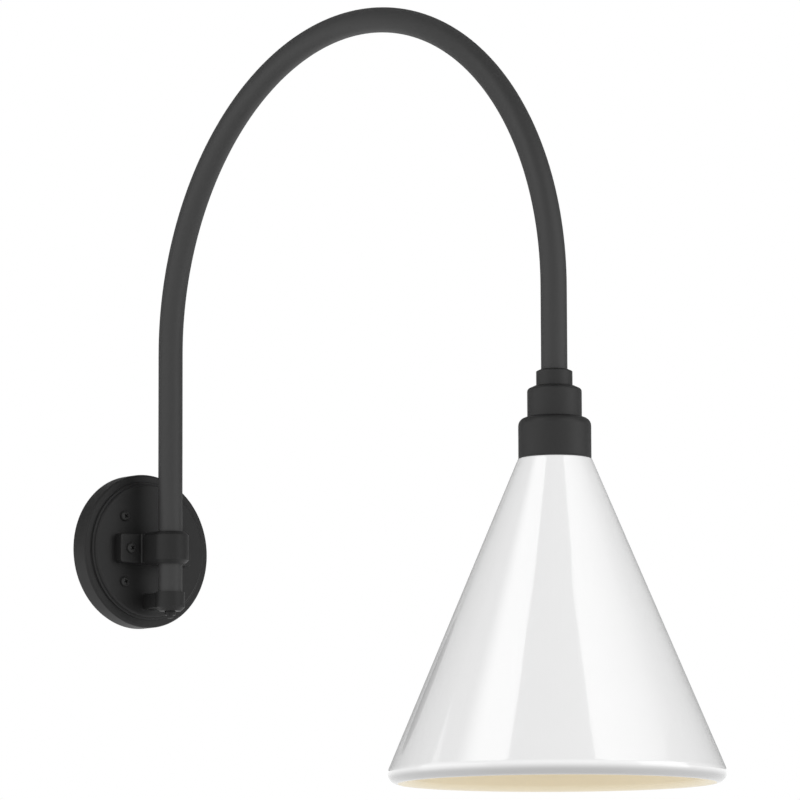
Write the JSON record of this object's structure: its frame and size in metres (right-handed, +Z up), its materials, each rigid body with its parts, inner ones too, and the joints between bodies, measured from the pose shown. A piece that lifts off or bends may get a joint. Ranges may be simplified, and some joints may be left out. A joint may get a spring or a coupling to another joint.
{
  "type": "barn light",
  "caption": "Wall-mounted swan-neck barn light: round stepped wall plate, swivelling arched tube arm and a stepped cap with a white conical shade.",
  "frame": {"origin": "centre of the wall plate's back, in the wall plane", "axes": "+X to the right facing the wall, +Y into the wall, +Z up"},
  "size_m": [0.254, 0.656, 0.6263],
  "materials": {
    "black_powder_coat": "matte black powder coat",
    "black_screw": "satin black",
    "shade_enamel": "gloss white outside, cream inside",
    "foam_rubber": "closed-cell foam",
    "black_rubber": "matte",
    "zinc_steel": "zinc plated",
    "dark_steel": "black oxide",
    "brass": "plain",
    "white_nylon": "moulded",
    "black_nylon": "moulded",
    "black_phenolic": "moulded",
    "lead_sheath": "satin sheath",
    "holder_ceramic": "glazed white",
    "lamp_cap_metal": "satin",
    "lamp_tip_glass": "black insulator",
    "frosted_glass": "frosted white"
  },
  "bodies": {
    "root": {"wall_gasket": "foam_rubber", "mount_plate": "zinc_steel", "earth_screw": "brass", "terminal_block": "white_nylon", "wall_plate": "black_powder_coat", "plate_screws": "black_screw", "stem_clamp": "black_powder_coat", "clamp_screws": "black_screw", "hub_bush": "black_nylon", "stem_foot": "black_powder_coat", "foot_screws": "zinc_steel", "thrust_washer": "black_nylon", "foot_plug": "black_powder_coat", "supply_lead": "lead_sheath"},
    "arm": {"gooseneck_arm": "black_powder_coat", "arm_lead": "lead_sheath", "arm_collar": "black_powder_coat", "collar_grub_screw": "dark_steel", "nipple": "zinc_steel", "lock_nut": "zinc_steel", "socket_cup": "black_powder_coat", "shade_fitter": "black_powder_coat", "shade_gasket": "black_rubber", "shade": "shade_enamel", "shade_ring": "black_phenolic", "lampholder": "holder_ceramic", "terminal_screws": "brass", "screw_shell": "brass", "centre_contact": "brass", "bulb_cap": "lamp_cap_metal", "bulb_tip": "lamp_tip_glass", "bulb_glass": "frosted_glass"}
  },
  "joints": [
    {"name": "arm_swivel", "type": "hinge", "parent": "root", "child": "arm", "pos_m": [0, -0.049, 0], "axis": [0, 0, 1], "range_deg": [-75, 75]}
  ]
}
